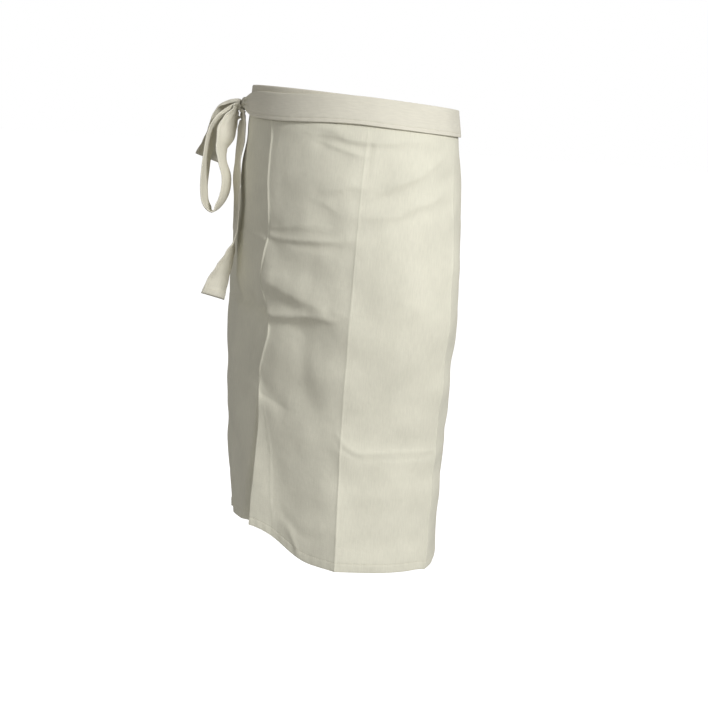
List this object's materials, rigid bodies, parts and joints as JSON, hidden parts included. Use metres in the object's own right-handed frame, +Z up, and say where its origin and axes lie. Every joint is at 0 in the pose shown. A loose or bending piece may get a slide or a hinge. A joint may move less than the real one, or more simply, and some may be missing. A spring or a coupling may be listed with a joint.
{
  "type": "waist apron",
  "caption": "Wrap-round cotton waist apron in its worn form, with a folded waistband and long ties that cross behind and are tied at the front in a half bow.",
  "frame": {"origin": "middle of the waist, halfway up the waistband", "axes": "+Z up, the wearer faces -Y, and the wearer's left side is at +X"},
  "size_m": [0.3589, 0.3099, 0.597],
  "materials": {
    "twill": "washed cream cotton twill, matt, with pressed packing creases",
    "band": "cream cotton twill folded double, matt",
    "tie": "cream cotton twill strip, folded and stitched along its edge, matt"
  },
  "bodies": {
    "root": {"apron_panel": "twill", "waistband": "band", "front_tie": "tie", "back_tie": "tie", "knot": "tie", "bow_loop": "tie", "short_tail": "tie", "long_tail": "tie"}
  },
  "joints": []
}
